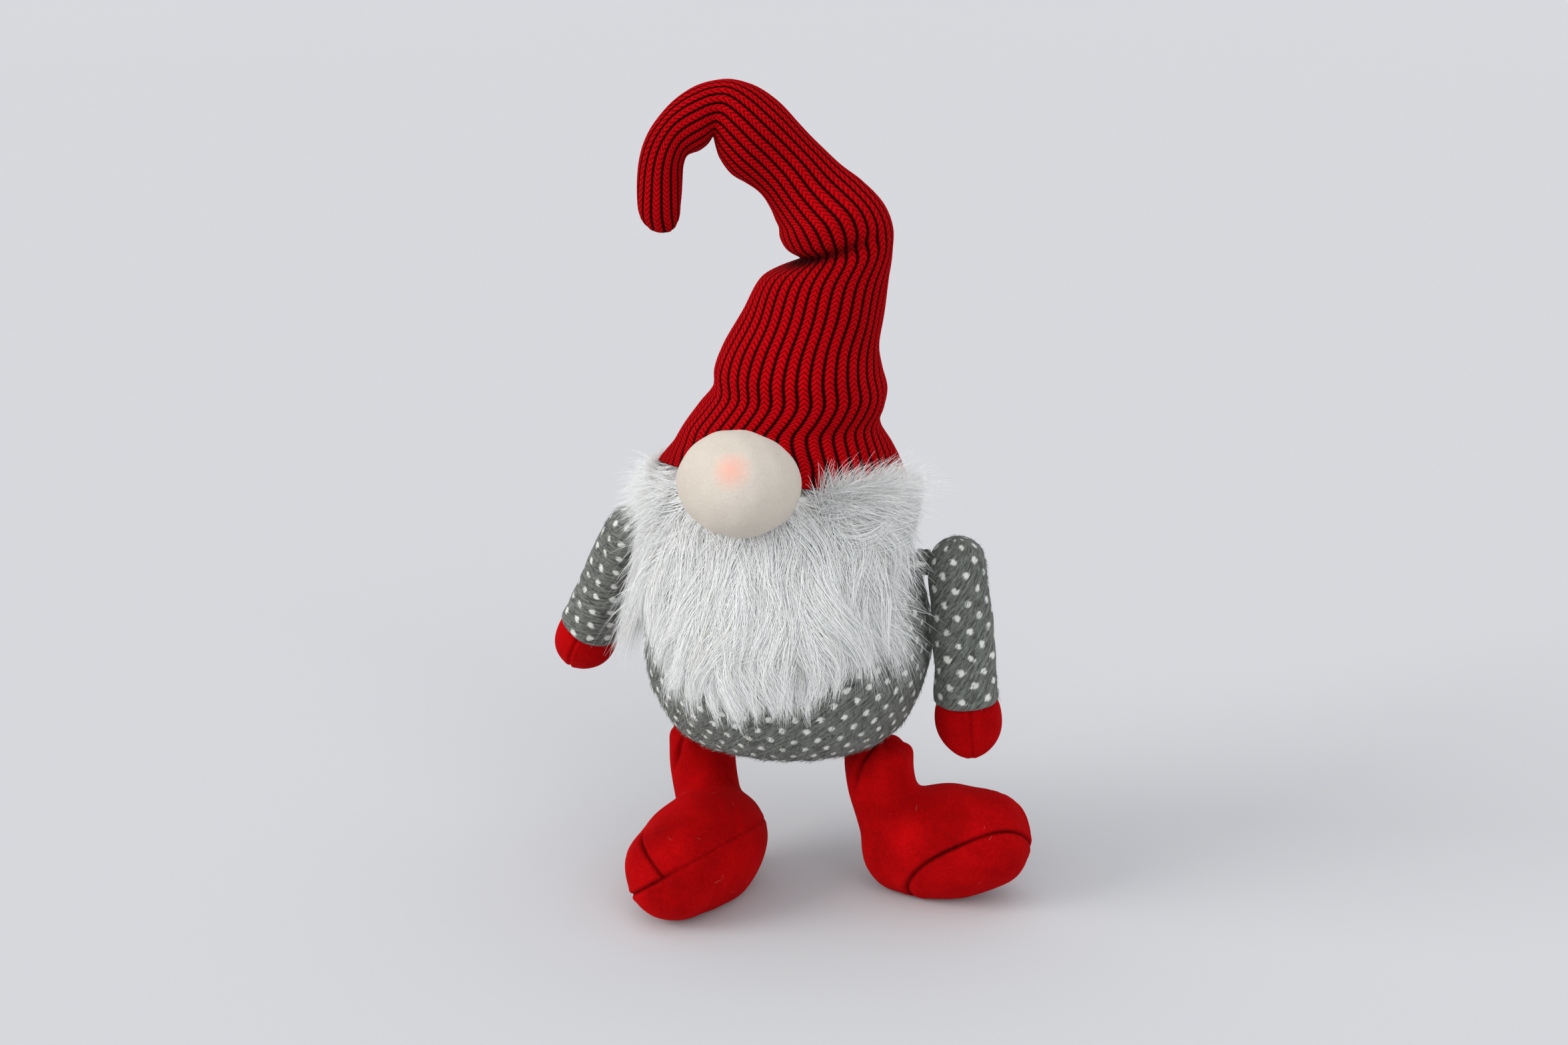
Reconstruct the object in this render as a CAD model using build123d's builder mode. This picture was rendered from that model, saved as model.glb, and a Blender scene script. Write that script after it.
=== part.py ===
from build123d import *
from math import cos, sin, sqrt, radians
import os

os.makedirs("parts", exist_ok=True)

# ---------------------------------------------------------------- named values (mm)
# The figure stands on its boots, +Z is up and it faces -Y.  Its own middle line is the Z axis
# while it is drawn; every piece is then moved by FIGURE_SHIFT so the box round it is centred.
FIGURE_SHIFT = (8.385, 20.45, 0.0)

FABRIC = 2.0
KNIT = 3.5
SEAM_GAP = 0.4

# torso outline as (radius, height), from the rim of the base panel to the neck
BASE_Z = 100.0
BASE_RADIUS = 46.0
NECK_Z = 255.0
TORSO_OUTLINE = [(48, 100), (70, 106), (85, 124), (93, 152), (94, 172), (89, 202), (81, 232), (76, 255)]
HEAD_OUTLINE = [(76, 255.2), (73.5, 266), (66, 278), (52, 288), (33, 294.5), (12, 297)]

# hat: it leans and folds in one upright plane that faces a little to the figure's left
HAT_TURN = 18.0
# the hem is lower at the back than over the face: (sideways, height, radius, tilt, pitch)
HAT_HEM = [(-0.6, 275.7, 82.5, -8.5, 11), (-2.5, 289.5, 75, -6, 5)]
# (sideways, height, radius, tilt) of the hat's cross sections, brim to tip
HAT_LOWER = [
    (-4, 301, 68, -4),
    (-1.5, 316, 60.5, 0),
    (7, 335, 56, 0),
    (8, 352, 53.5, 0),
    (10, 364, 50.5, 0),
    (17, 383, 45.5, 0),
    (24, 404, 40, 2),
    (31, 418.5, 33.3, 6),
]
HAT_MIDDLE = [
    (30.9, 419.6, 33.2, 6),
    (29.5, 431.5, 32.7, 10),
    (24, 444, 29.8, 22),
    (11.5, 456, 26, 38),
    (0, 472, 23.5, 43),
    (-17.5, 489, 24, 52),
    (-32, 503, 21.2, 66),
    (-39.8, 507.7, 19, 75),
]
HAT_CROOK = [
    (-41, 508, 19, 75),
    (-54.8, 503.3, 19.5, 92),
    (-67, 496.5, 16, 112),
    (-78.2, 474, 12.6, 157),
]
HAT_TIP = [
    (-78.6, 472.8, 12.4, 157),
    (-79, 459, 11.3, 174),
    (-79.1, 446, 10.1, 180),
    (-78.2, 437, 7.4, 180),
    (-78.2, 433, 3.0, 180),
]
# the bendable wire runs along the outer side of every bend
WIRE_RADIUS = 1.2
STUFFING_Z = 312.0
WIRE_LOWER = [(44, 330), (49, 360), (52, 385), (56.5, 415)]
WIRE_MIDDLE = [(56.5, 427), (50, 441), (29, 462), (6, 487), (-12, 506), (-33.5, 517)]
WIRE_CROOK = [(-43, 519), (-57, 514.5), (-69, 503), (-77, 490), (-82.5, 480)]
WIRE_TIP = [(-84, 469), (-84.5, 458), (-82, 445)]

# nose
NOSE_CENTRE = (3.0, -103.0, 298.0)
NOSE_HALF_WIDTH = 37.0
NOSE_HALF_HEIGHT = 32.0

# beard
BEARD_HALF_ANGLE = 52.0
BEARD_BACKING = 1.5
BACKING_INNER = [(94.2, 150), (94.8, 172), (90, 202), (82.2, 232), (77.4, 255), (74.4, 268), (69, 279)]
PILE_OUTER = [(99, 145), (108, 158), (113, 185), (109, 215), (100, 243), (91, 264), (85, 279)]

# arms: shoulder point, sideways lean and backward swing (degrees) of each
ARM_RADIUS = 18.0
ARM_LENGTH = 132.0
CUFF_AT = 88.0
LEFT_SHOULDER = (112.0, 2.0, 227.5)
LEFT_LEAN = 5.2
LEFT_SWING = 0.0
RIGHT_SHOULDER = (-109.0, 2.0, 229.0)
RIGHT_LEAN = 27.0
RIGHT_SWING = 18.0
SHOULDER_SEAM_RADIUS = 7.5
# (distance down the arm, radius)
SLEEVE_SECTIONS = [(0, 18), (25, 18.3), (55, 18.8), (88, 20.3)]
MITTEN_SECTIONS = [(88.0, 18.6), (101, 20.6), (114, 18.8), (123.5, 12.5), (128.5, 5)]

# legs and boots
LEG_RADIUS = 22.5
LEFT_HIP = (63.0, 3.0, 76.0)
RIGHT_HIP = (-60.0, 1.0, 76.0)
# boot axis: heel end, direction, length along it
LEFT_HEEL = (53.0, 12.5, 22.5)
LEFT_TOE = (162.0, 0.5, 48.5)
RIGHT_HEEL = (-36.0, 9.0, 31.0)
RIGHT_TOE = (-53.0, -113.0, 32.5)
# blunt boot: ball radius at the heel, half way and at the toe
BOOT_HEEL_RADIUS = 34.0
BOOT_MID_RADIUS = 37.0
BOOT_TOE_RADIUS = 33.0
ANKLE_Z = 34.0
SOLE_Z = 12.0

# pellet bag low in the body
BAG_Z = 126.0
BAG_RADIUS = 56.0
BAG_HALF_HEIGHT = 20.0
BAG_CLOTH = 1.0


# ---------------------------------------------------------------- helpers
def turned(points, shrink=0.0, lift=0.0):
    """Solid of revolution about Z from a (radius, height) outline."""
    outline = [(r - shrink, z) for r, z in points]
    outline[0] = (outline[0][0], outline[0][1] + lift)
    with BuildPart() as body:
        with BuildSketch(Plane.XZ):
            with BuildLine():
                Line((0, outline[0][1]), outline[0])
                Spline(*outline)
                Line(outline[-1], (0, outline[-1][1]))
                Line((0, outline[-1][1]), (0, outline[0][1]))
            make_face()
        revolve(axis=Axis.Z)
    return body.part


def ribbon(inner, outer, half_angle):
    """Band on the front of the body between two (radius, height) outlines."""
    start = radians(-90 - half_angle)
    radial = Plane(origin=(0, 0, 0), x_dir=(cos(start), sin(start), 0), z_dir=(sin(start), -cos(start), 0))
    with BuildPart() as band:
        with BuildSketch(radial):
            with BuildLine():
                Line(inner[0], outer[0])
                Spline(*outer)
                Line(outer[-1], inner[-1])
                Spline(*inner)
            make_face()
        revolve(axis=Axis.Z, revolution_arc=2 * half_angle)
    return band.part


def hat_plane(side, height, tilt, pitch=0.0):
    """Cross-section plane of the hat; tilt leans its normal towards the figure's right."""
    across = Vector(cos(radians(HAT_TURN)), sin(radians(HAT_TURN)), 0)
    facing = Vector(sin(radians(HAT_TURN)), -cos(radians(HAT_TURN)), 0)
    up = Vector(0, 0, 1)
    normal = across * -sin(radians(tilt)) + up * cos(radians(tilt)) - facing * sin(radians(pitch))
    line = across * cos(radians(tilt)) + up * sin(radians(tilt))
    return Plane(origin=across * side + up * height, x_dir=line, z_dir=normal)


def hat_solid(sections, shrink=0.0, brim=False):
    """Loft through the hat's round cross sections, optionally starting at the hem."""
    with BuildPart() as body:
        if brim:
            for side, height, radius, tilt, pitch in HAT_HEM:
                with BuildSketch(hat_plane(side, height, tilt, pitch)):
                    Circle(radius - shrink)
        for side, height, radius, tilt in sections:
            with BuildSketch(hat_plane(side, height, tilt)):
                Circle(radius - shrink)
        loft()
    return body.part


def hat_wire(points):
    """Round wire bent through points of the hat's own plane."""
    plane = hat_plane(0, 0, 0)
    flat = Plane(origin=(0, 0, 0), x_dir=plane.x_dir, z_dir=plane.x_dir.cross(Vector(0, 0, 1)))
    with BuildPart() as wire:
        with BuildLine(flat) as path:
            Spline(*points)
        with BuildSketch(Plane(origin=path.line @ 0, z_dir=path.line % 0)):
            Circle(WIRE_RADIUS)
        sweep()
    return wire.part


def wire_room(points):
    """The hole the wire needs through the stuffing."""
    plane = hat_plane(0, 0, 0)
    flat = Plane(origin=(0, 0, 0), x_dir=plane.x_dir, z_dir=plane.x_dir.cross(Vector(0, 0, 1)))
    with BuildPart() as room:
        with BuildLine(flat) as path:
            Spline(*points)
        with BuildSketch(Plane(origin=path.line @ 0, z_dir=path.line % 0)):
            Circle(WIRE_RADIUS + 0.15)
        sweep()
    return room.part


def boot(start, end, shrink=0.0):
    """Blunt solid of revolution from the heel end to the toe end."""
    a = Vector(*start)
    b = Vector(*end)
    axis = (b - a).normalized()
    side = axis.cross(Vector(0, 0, 1)).normalized()
    length = (b - a).length
    heel = BOOT_HEEL_RADIUS
    toe = BOOT_TOE_RADIUS
    heel_in = heel - shrink
    toe_in = toe - shrink
    half = sqrt(0.5)
    with BuildPart() as body:
        with BuildSketch(Plane(origin=a, x_dir=axis, z_dir=side)):
            with BuildLine():
                ThreePointArc((heel - heel_in, 0), (heel - heel_in * half, heel_in * half), (heel, heel_in))
                Spline(
                    (heel, heel_in),
                    (length / 2, BOOT_MID_RADIUS - shrink),
                    (length - toe, toe_in),
                    tangents=((1, 0.05), (1, -0.05)),
                )
                ThreePointArc(
                    (length - toe, toe_in),
                    (length - toe + toe_in * half, toe_in * half),
                    (length - toe + toe_in, 0),
                )
                Line((length - toe + toe_in, 0), (heel - heel_in, 0))
            make_face()
        revolve(axis=Axis(origin=a, direction=axis))
    return body.part


def oval(centre, half_width, half_depth, half_height):
    """Ball stretched to three half sizes."""
    with BuildPart() as ball:
        Sphere(1)
        scale(by=(half_width, half_depth, half_height))
    return ball.part.moved(Location(centre))


def arm_axis(side, lean, swing):
    """Unit vector from the shoulder to the hand."""
    across = side * sin(radians(lean))
    back = cos(radians(lean)) * sin(radians(swing))
    down = -cos(radians(lean)) * cos(radians(swing))
    return Vector(across, back, down)


def arm_loft(shoulder, axis, sections, shrink=0.0, first=0.0, last=0.0):
    """Loft of circles down the arm; first and last move the end circles along it."""
    count = len(sections)
    with BuildPart() as body:
        for index, (along, radius) in enumerate(sections):
            place = along
            if index == 0:
                place = place + first
            if index == count - 1:
                place = place + last
            with BuildSketch(Plane(origin=Vector(*shoulder) + axis * place, x_dir=(0, 1, 0), z_dir=axis)):
                Circle(radius - shrink)
        loft()
    return body.part


def leg_outer(hip, heel, toe, shrink=0.0):
    """Leg and boot in one: ball at the hip, leg tube, egg-shaped foot."""
    a = Vector(*heel)
    b = Vector(*toe)
    at_ankle = a + (b - a) * 0.25
    with BuildPart() as body:
        with BuildSketch(Plane(origin=hip)):
            Circle(LEG_RADIUS - 1.5 - shrink)
        with BuildSketch(Plane(origin=((hip[0] + at_ankle.X) / 2, (hip[1] + at_ankle.Y) / 2, 55))):
            Circle(LEG_RADIUS - 0.5 - shrink)
        with BuildSketch(Plane(origin=(at_ankle.X, at_ankle.Y, ANKLE_Z))):
            Circle(LEG_RADIUS + 3 - shrink)
        loft()
        with Locations(hip):
            Sphere(LEG_RADIUS - shrink)
        add(boot(heel, toe, shrink))
        with Locations((0, 0, shrink)):
            Box(600, 600, 100, align=(Align.CENTER, Align.CENTER, Align.MAX), mode=Mode.SUBTRACT)
    return body.part


# ---------------------------------------------------------------- torso and head
# everything the lower hat's knit takes up, with a little room round it
with BuildPart() as hat_wall_room:
    add(hat_solid(HAT_LOWER, shrink=-0.3, brim=True))
    add(hat_solid(HAT_LOWER, shrink=KNIT + 0.3, brim=True), mode=Mode.SUBTRACT)
hat_lower_room = hat_wall_room.part

torso_outer = turned(TORSO_OUTLINE)
torso_inner = turned(TORSO_OUTLINE, shrink=FABRIC, lift=FABRIC)
head_outer = turned(HEAD_OUTLINE)
head_inner = turned(HEAD_OUTLINE[:-1], shrink=FABRIC)

with BuildPart() as torso_front_panel:
    add(torso_outer)
    add(torso_inner, mode=Mode.SUBTRACT)
    with Locations((0, 0, BASE_Z)):
        Cylinder(BASE_RADIUS, 2 * FABRIC, mode=Mode.SUBTRACT)
    split(bisect_by=Plane.XZ, keep=Keep.TOP)

with BuildPart() as torso_back_panel:
    add(torso_outer)
    add(torso_inner, mode=Mode.SUBTRACT)
    with Locations((0, 0, BASE_Z)):
        Cylinder(BASE_RADIUS, 2 * FABRIC, mode=Mode.SUBTRACT)
    split(bisect_by=Plane.XZ, keep=Keep.BOTTOM)

with BuildPart() as base_panel:
    with Locations((0, 0, BASE_Z)):
        Cylinder(BASE_RADIUS - 0.1, FABRIC, align=(Align.CENTER, Align.CENTER, Align.MIN))

with BuildPart() as head_cover:
    add(head_outer)
    add(head_inner, mode=Mode.SUBTRACT)
    add(hat_lower_room, mode=Mode.SUBTRACT)

bag_centre = (0, 0, BAG_Z)
bag_outer = oval(bag_centre, BAG_RADIUS, BAG_RADIUS, BAG_HALF_HEIGHT)
bag_wall = BAG_CLOTH + 0.1

with BuildPart() as pellet_bag:
    add(bag_outer)
    add(
        oval(bag_centre, BAG_RADIUS - BAG_CLOTH, BAG_RADIUS - BAG_CLOTH, BAG_HALF_HEIGHT - BAG_CLOTH),
        mode=Mode.SUBTRACT,
    )

with BuildPart() as pellets:
    add(oval(bag_centre, BAG_RADIUS - bag_wall, BAG_RADIUS - bag_wall, BAG_HALF_HEIGHT - bag_wall))

with BuildPart() as torso_filling:
    add(turned(TORSO_OUTLINE, shrink=FABRIC + 0.2, lift=FABRIC + 0.2))
    add(turned(HEAD_OUTLINE[:-1], shrink=FABRIC + 0.2))
    with Locations((0, 0, NECK_Z + 0.1)):
        Cylinder(68, 1.2)
    add(bag_outer, mode=Mode.SUBTRACT)
    add(hat_lower_room, mode=Mode.SUBTRACT)

# ---------------------------------------------------------------- hat
hat_lower_outer = hat_solid(HAT_LOWER, brim=True)

with BuildPart() as hat_lower_knit:
    add(hat_lower_outer)
    add(hat_solid(HAT_LOWER, shrink=KNIT, brim=True), mode=Mode.SUBTRACT)

with BuildPart() as hat_lower_wire:
    add(hat_wire(WIRE_LOWER))

with BuildPart() as hat_lower_stuffing:
    add(hat_solid(HAT_LOWER, shrink=KNIT + 0.3, brim=True))
    with Locations((0, 0, STUFFING_Z)):
        Box(400, 400, 200, align=(Align.CENTER, Align.CENTER, Align.MAX), mode=Mode.SUBTRACT)
    add(wire_room(WIRE_LOWER), mode=Mode.SUBTRACT)

with BuildPart() as hat_middle_knit:
    add(hat_solid(HAT_MIDDLE))
    add(hat_solid(HAT_MIDDLE, shrink=KNIT), mode=Mode.SUBTRACT)

with BuildPart() as hat_middle_wire:
    add(hat_wire(WIRE_MIDDLE))

with BuildPart() as hat_middle_stuffing:
    add(hat_solid(HAT_MIDDLE, shrink=KNIT + 0.3))
    add(wire_room(WIRE_MIDDLE), mode=Mode.SUBTRACT)

with BuildPart() as hat_crook_knit:
    add(hat_solid(HAT_CROOK))
    add(hat_solid(HAT_CROOK, shrink=KNIT), mode=Mode.SUBTRACT)

with BuildPart() as hat_crook_wire:
    add(hat_wire(WIRE_CROOK))

with BuildPart() as hat_crook_stuffing:
    add(hat_solid(HAT_CROOK, shrink=KNIT + 0.3))
    add(wire_room(WIRE_CROOK), mode=Mode.SUBTRACT)

with BuildPart() as hat_tip_knit:
    add(hat_solid(HAT_TIP))
    add(hat_solid(HAT_TIP[:-1], shrink=KNIT), mode=Mode.SUBTRACT)

with BuildPart() as hat_tip_wire:
    add(hat_wire(WIRE_TIP))

with BuildPart() as hat_tip_stuffing:
    add(hat_solid(HAT_TIP[:-1], shrink=KNIT + 0.3))
    add(wire_room(WIRE_TIP), mode=Mode.SUBTRACT)


# ---------------------------------------------------------------- nose
def nose_solid(shrink=0.0):
    """Ball a little wider than it is high."""
    high = NOSE_HALF_HEIGHT - shrink
    return oval(NOSE_CENTRE, NOSE_HALF_WIDTH - shrink, high, high)


with BuildPart() as face_room:
    add(hat_solid(HAT_LOWER, shrink=-0.3, brim=True))
    add(turned(HEAD_OUTLINE, shrink=-0.4))
    with Locations((0, 0, NECK_Z)):
        Cylinder(76.4, 1.2)
    add(turned(TORSO_OUTLINE, shrink=-0.4))

with BuildPart() as nose_cover:
    add(nose_solid())
    add(nose_solid(1.6), mode=Mode.SUBTRACT)
    add(face_room.part, mode=Mode.SUBTRACT)
    add(hat_lower_room, mode=Mode.SUBTRACT)

with BuildPart() as nose_filling:
    add(nose_solid(1.8))
    add(face_room.part, mode=Mode.SUBTRACT)
    add(hat_lower_room, mode=Mode.SUBTRACT)

# ---------------------------------------------------------------- beard
BACKING_OUTER = [(r + BEARD_BACKING, z) for r, z in BACKING_INNER]
PILE_INNER = [(r + BEARD_BACKING + 0.2, z) for r, z in BACKING_INNER]

with BuildPart() as beard_backing:
    add(ribbon(BACKING_INNER, BACKING_OUTER, BEARD_HALF_ANGLE))
    add(face_room.part, mode=Mode.SUBTRACT)
    add(nose_solid(-0.2), mode=Mode.SUBTRACT)

with BuildPart() as beard_pile:
    add(ribbon(PILE_INNER, PILE_OUTER, BEARD_HALF_ANGLE))
    add(face_room.part, mode=Mode.SUBTRACT)
    add(nose_solid(-0.2), mode=Mode.SUBTRACT)

# ---------------------------------------------------------------- arms and legs
pieces = {
    "torso_front_panel": torso_front_panel,
    "torso_back_panel": torso_back_panel,
    "base_panel": base_panel,
    "head_cover": head_cover,
    "pellet_bag": pellet_bag,
    "pellets": pellets,
    "torso_filling": torso_filling,
    "beard_backing": beard_backing,
    "beard_pile": beard_pile,
    "nose_cover": nose_cover,
    "nose_filling": nose_filling,
    "hat_lower_knit": hat_lower_knit,
    "hat_lower_wire": hat_lower_wire,
    "hat_lower_stuffing": hat_lower_stuffing,
    "hat_middle_knit": hat_middle_knit,
    "hat_middle_wire": hat_middle_wire,
    "hat_middle_stuffing": hat_middle_stuffing,
    "hat_crook_knit": hat_crook_knit,
    "hat_crook_wire": hat_crook_wire,
    "hat_crook_stuffing": hat_crook_stuffing,
    "hat_tip_knit": hat_tip_knit,
    "hat_tip_wire": hat_tip_wire,
    "hat_tip_stuffing": hat_tip_stuffing,
}

arms = [
    ("left", 1, LEFT_SHOULDER, LEFT_LEAN, LEFT_SWING, 85.3),
    ("right", -1, RIGHT_SHOULDER, RIGHT_LEAN, RIGHT_SWING, 84.8),
]
for label, side, shoulder, lean, swing, seam_start in arms:
    axis = arm_axis(side, lean, swing)
    # the mitten's seams run down its front and back, so it is halved across the figure's width
    halving = Plane(origin=shoulder, x_dir=axis, z_dir=axis.cross(Vector(0, 1, 0)) * side)

    with BuildPart() as sleeve:
        add(arm_loft(shoulder, axis, SLEEVE_SECTIONS))
        with Locations(shoulder):
            Sphere(ARM_RADIUS)
        add(arm_loft(shoulder, axis, SLEEVE_SECTIONS, shrink=FABRIC, last=1), mode=Mode.SUBTRACT)
        with Locations(shoulder):
            Sphere(ARM_RADIUS - FABRIC, mode=Mode.SUBTRACT)

    with BuildPart() as mitten_outer:
        add(arm_loft(shoulder, axis, MITTEN_SECTIONS, first=0.2))
        add(arm_loft(shoulder, axis, MITTEN_SECTIONS[:-1], shrink=FABRIC, first=-1), mode=Mode.SUBTRACT)
        split(bisect_by=halving, keep=Keep.TOP)

    with BuildPart() as mitten_inner:
        add(arm_loft(shoulder, axis, MITTEN_SECTIONS, first=0.2))
        add(arm_loft(shoulder, axis, MITTEN_SECTIONS[:-1], shrink=FABRIC, first=-1), mode=Mode.SUBTRACT)
        split(bisect_by=halving, keep=Keep.BOTTOM)

    with BuildPart() as arm_filling:
        add(arm_loft(shoulder, axis, SLEEVE_SECTIONS, shrink=FABRIC + 0.2))
        with Locations(shoulder):
            Sphere(ARM_RADIUS - FABRIC - 0.2)
        add(arm_loft(shoulder, axis, MITTEN_SECTIONS[:-1], shrink=FABRIC + 0.2))

    # gathered seam between body and sleeve: round about the cross axis so that it can turn
    seam_length = abs(shoulder[0]) - ARM_RADIUS - SEAM_GAP - seam_start
    with BuildPart() as shoulder_seam:
        with Locations((side * (seam_start + seam_length / 2), shoulder[1], shoulder[2])):
            Cylinder(SHOULDER_SEAM_RADIUS, seam_length, rotation=(0, 90, 0))

    pieces[f"sleeve_{label}"] = sleeve
    pieces[f"mitten_outer_{label}"] = mitten_outer
    pieces[f"mitten_inner_{label}"] = mitten_inner
    pieces[f"arm_filling_{label}"] = arm_filling
    pieces[f"shoulder_seam_{label}"] = shoulder_seam

legs = [
    ("left", LEFT_HIP, LEFT_HEEL, LEFT_TOE),
    ("right", RIGHT_HIP, RIGHT_HEEL, RIGHT_TOE),
]
for label, hip, heel, toe in legs:
    along = (Vector(*toe) - Vector(*heel)).normalized()
    middle = Plane(origin=heel, x_dir=along, z_dir=along.cross(Vector(0, 0, 1)))
    outer = leg_outer(hip, heel, toe)
    inner = leg_outer(hip, heel, toe, shrink=FABRIC)

    with BuildPart() as boot_side_a:
        add(outer)
        add(inner, mode=Mode.SUBTRACT)
        with Locations((0, 0, SOLE_Z)):
            Box(600, 600, 100, align=(Align.CENTER, Align.CENTER, Align.MAX), mode=Mode.SUBTRACT)
        split(bisect_by=middle, keep=Keep.TOP)

    with BuildPart() as boot_side_b:
        add(outer)
        add(inner, mode=Mode.SUBTRACT)
        with Locations((0, 0, SOLE_Z)):
            Box(600, 600, 100, align=(Align.CENTER, Align.CENTER, Align.MAX), mode=Mode.SUBTRACT)
        split(bisect_by=middle, keep=Keep.BOTTOM)

    with BuildPart() as boot_sole:
        add(outer)
        add(inner, mode=Mode.SUBTRACT)
        with Locations((0, 0, SOLE_Z - 0.05)):
            Box(600, 600, 200, align=(Align.CENTER, Align.CENTER, Align.MIN), mode=Mode.SUBTRACT)

    with BuildPart() as leg_filling:
        add(leg_outer(hip, heel, toe, shrink=FABRIC + 0.2))

    # short hand-sewn tack that holds the leg under the body
    with BuildPart() as hip_tack:
        with Locations((hip[0], hip[1], hip[2] + LEG_RADIUS + 0.4)):
            Cylinder(7, 8, align=(Align.CENTER, Align.CENTER, Align.MIN))
        add(torso_outer, mode=Mode.SUBTRACT)

    pieces[f"boot_front_side_{label}"] = boot_side_a
    pieces[f"boot_back_side_{label}"] = boot_side_b
    pieces[f"boot_sole_{label}"] = boot_sole
    pieces[f"leg_filling_{label}"] = leg_filling
    pieces[f"hip_tack_{label}"] = hip_tack

# ---------------------------------------------------------------- names and files
for name, piece in pieces.items():
    piece.part.label = name
    piece.part.position = FIGURE_SHIFT
    export_step(piece.part, f"parts/{name}.step")
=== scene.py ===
import math

import bmesh
import bpy
import numpy as np
from mathutils import Matrix, Vector
from mathutils.bvhtree import BVHTree


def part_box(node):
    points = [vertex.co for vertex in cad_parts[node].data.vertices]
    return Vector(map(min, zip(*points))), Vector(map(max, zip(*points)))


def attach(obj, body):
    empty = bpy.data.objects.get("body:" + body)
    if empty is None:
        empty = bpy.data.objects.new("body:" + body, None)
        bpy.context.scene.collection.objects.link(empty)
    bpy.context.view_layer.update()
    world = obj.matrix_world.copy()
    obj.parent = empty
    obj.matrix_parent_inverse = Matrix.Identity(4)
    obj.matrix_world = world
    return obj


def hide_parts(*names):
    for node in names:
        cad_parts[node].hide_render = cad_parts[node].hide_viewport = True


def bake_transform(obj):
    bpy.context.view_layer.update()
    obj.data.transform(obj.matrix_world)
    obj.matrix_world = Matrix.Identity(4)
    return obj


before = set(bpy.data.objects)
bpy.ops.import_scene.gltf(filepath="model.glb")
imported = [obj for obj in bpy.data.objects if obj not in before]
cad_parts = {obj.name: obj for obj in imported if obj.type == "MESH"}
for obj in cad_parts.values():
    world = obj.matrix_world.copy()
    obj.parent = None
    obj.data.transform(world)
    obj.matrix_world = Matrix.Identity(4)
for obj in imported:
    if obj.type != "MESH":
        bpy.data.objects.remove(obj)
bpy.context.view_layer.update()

# The figure is drawn in millimetres about its own middle line, then moved into the row frame.
SHIFT = np.array((8.385, 20.45, 0.0))
TURN = math.radians(18)
ACROSS = np.array((math.cos(TURN), math.sin(TURN), 0.0))
FACING = np.array((math.sin(TURN), -math.cos(TURN), 0.0))
UP = np.array((0.0, 0.0, 1.0))
FULL_TURN = 2 * math.pi

# Millimetres: the radii at which printed cloth is laid out, and the pitches of the knit.
BODY_RADIUS = 93.1
SLEEVE_RADIUS = 19.1
RIB_PITCH = 8.9
STITCH_PITCH = 3.1


def row(p):
    return (np.asarray(p, float) + SHIFT) / 1000.0


def smooth(a, b, x):
    t = np.clip((np.asarray(x, float) - a) / (b - a), 0, 1)
    return t * t * (3 - 2 * t)


def unit(v):
    v = np.asarray(v, float)
    return v / np.maximum(np.linalg.norm(v, axis=-1, keepdims=True), 1e-9)


def run_length(points):
    """Distance travelled along a line of points, from its first point."""
    return np.concatenate([[0], np.cumsum(np.linalg.norm(np.diff(points, axis=0), axis=1))])


def curve_through(points, count):
    """Even samples of a smooth curve through the points."""
    p = np.asarray(points, float)
    p = np.vstack([2 * p[0] - p[1], p, 2 * p[-1] - p[-2]])
    out = []
    for i in range(1, len(p) - 2):
        t = np.linspace(0, 1, 40, endpoint=False)[:, None]
        a, b, c, d = p[i - 1], p[i], p[i + 1], p[i + 2]
        square = (2 * a - 5 * b + 4 * c - d) * t**2
        cube = (3 * b - a - 3 * c + d) * t**3
        out.append(0.5 * (2 * b + (c - a) * t + square + cube))
    out.append(p[-2][None])
    fine = np.vstack(out)
    s = run_length(fine)
    want = np.linspace(0, s[-1], count)
    return np.stack([np.interp(want, s, fine[:, k]) for k in range(p.shape[1])], 1)


# ---------------------------------------------------------------- smooth repeatable noise
rng = np.random.default_rng(11)
WAVES = rng.normal(size=(24, 3))
PHASES = rng.uniform(0, FULL_TURN, 24)


def lumps(p, size, seed=0):
    """Soft random field about -1..1, its bumps about size mm across."""
    p = np.asarray(p, float)
    k = np.roll(WAVES, seed * 5, axis=0)[:12]
    k = unit(k) * (0.7 + 0.6 * np.linspace(0, 1, 12)[:, None]) * (math.pi / size)
    return np.sin(p @ k.T + np.roll(PHASES, seed * 3)[:12]).sum(-1) / 3.5


# ---------------------------------------------------------------- meshes
def spin(radii, along, cols):
    """Angle, radius and distance along the axis at every point of a turned surface."""
    ang = np.linspace(0, FULL_TURN, cols, endpoint=False)
    a, r = np.meshgrid(ang, radii)
    return a, r, np.repeat(along[:, None], cols, 1)


def new_object(name, verts_mm, faces, uv=None, attributes=None, smooth_shade=True):
    verts = row(verts_mm)
    mesh = bpy.data.meshes.new(name)
    faces = np.asarray(faces, np.int32)
    count, sides = faces.shape
    mesh.vertices.add(len(verts))
    mesh.vertices.foreach_set("co", verts.astype(np.float32).ravel())
    mesh.loops.add(count * sides)
    mesh.loops.foreach_set("vertex_index", faces.ravel())
    mesh.polygons.add(count)
    mesh.polygons.foreach_set("loop_start", np.arange(0, count * sides, sides, dtype=np.int32))
    mesh.polygons.foreach_set("loop_total", np.full(count, sides, np.int32))
    mesh.update(calc_edges=True)
    if uv is not None:
        layer = mesh.uv_layers.new(name="cloth")
        layer.data.foreach_set("uv", np.asarray(uv, np.float32).ravel())
    for key, values in (attributes or {}).items():
        a = mesh.attributes.new(key, "FLOAT", "POINT")
        a.data.foreach_set("value", np.asarray(values, np.float32).ravel())
    if smooth_shade:
        mesh.polygons.foreach_set("use_smooth", np.ones(count, bool))
    obj = bpy.data.objects.new(name, mesh)
    bpy.context.scene.collection.objects.link(obj)
    return obj


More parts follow.
